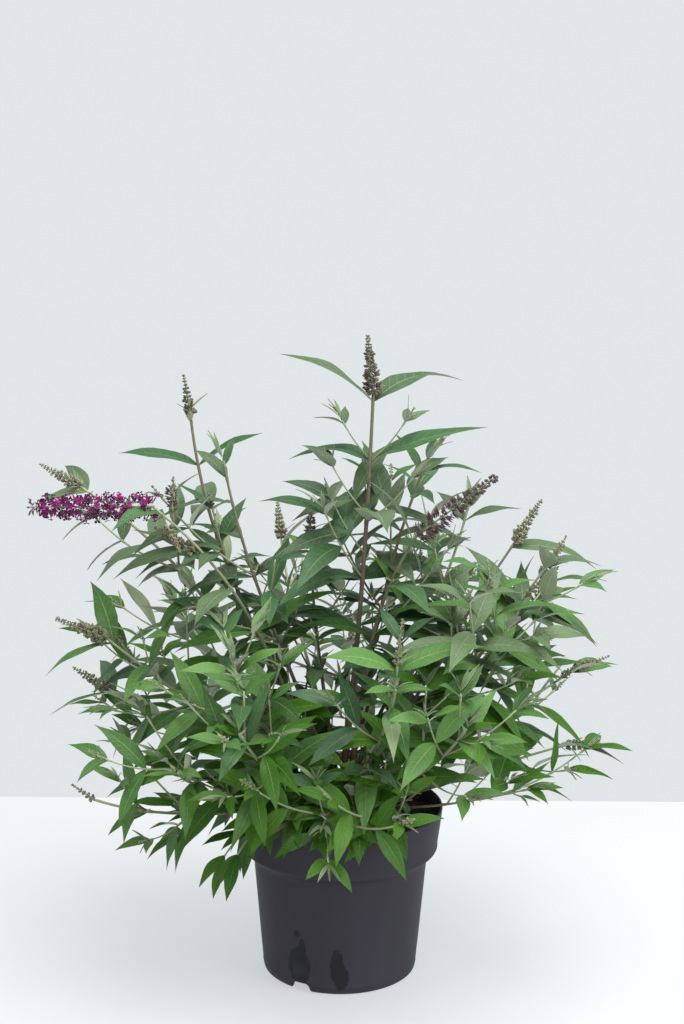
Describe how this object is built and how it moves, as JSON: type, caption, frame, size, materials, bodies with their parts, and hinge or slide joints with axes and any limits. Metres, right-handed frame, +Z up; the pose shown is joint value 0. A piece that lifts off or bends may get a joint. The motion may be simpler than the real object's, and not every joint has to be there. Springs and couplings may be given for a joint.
{
  "type": "potted butterfly bush",
  "caption": "Bushy flowering shrub with paired lance-shaped leaves, bud spikes and a purple flower panicle, rooted in a round dark nursery pot.",
  "frame": {"origin": "centre of the pot's flat underside, where it stands", "axes": "+Z up along the pot's axis, +X to the plant's right and -Y to its front, as seen by a person facing it"},
  "size_m": [0.5723, 0.5157, 0.6377],
  "materials": {
    "pot": "fine moulded matt, slightly dusty",
    "soil": "moist crumbly potting compost",
    "bark": "thin finely fissured young bark",
    "foliage": "soft matt leaves, felted pale underneath"
  },
  "bodies": {
    "root": {"pot": "pot", "soil": "soil", "rootstock": "bark", "bough_leader": "bark", "bough_left_tall": "bark", "bough_left_inner": "bark", "bough_left_flowering": "bark", "bough_left_upper": "bark", "bough_left_spike": "bark", "bough_left_back": "bark", "bough_left_low": "bark", "bough_front_left": "bark", "bough_front_left_tall": "bark", "bough_centre": "bark", "bough_right_flowering": "bark", "bough_right_inner": "bark", "bough_right_back_tall": "bark", "bough_right_spike": "bark", "bough_right_upper": "bark", "bough_front_right": "bark", "bough_right_middle": "bark", "bough_right_low": "bark", "bough_front_spike": "bark", "bough_front_middle": "bark", "bough_back_tall": "bark", "bough_back_right_tall": "bark", "bough_back_right": "bark", "bough_back_left": "bark", "bough_back_low": "bark", "leaves_leader": "foliage", "leaves_left_tall": "foliage", "leaves_left_inner": "foliage", "leaves_left_flowering": "foliage", "leaves_left_upper": "foliage", "leaves_left_spike": "foliage", "leaves_left_back": "foliage", "leaves_left_low": "foliage", "leaves_front_left_low": "foliage", "leaves_front_left": "foliage", "leaves_front_left_tall": "foliage", "leaves_centre": "foliage", "leaves_right_flowering": "foliage", "leaves_right_inner": "foliage", "leaves_right_back_tall": "foliage", "leaves_right_spike": "foliage", "leaves_right_upper": "foliage", "leaves_front_right": "foliage", "leaves_right_middle": "foliage", "leaves_right_low": "foliage", "leaves_front_right_low": "foliage", "leaves_front_spike": "foliage", "leaves_rim_left": "foliage", "leaves_rim_right": "foliage", "leaves_front_middle": "foliage", "leaves_back_tall": "foliage", "leaves_back_right_tall": "foliage", "leaves_back_right": "foliage", "leaves_back_left": "foliage", "leaves_back_low": "foliage"}
  },
  "joints": []
}
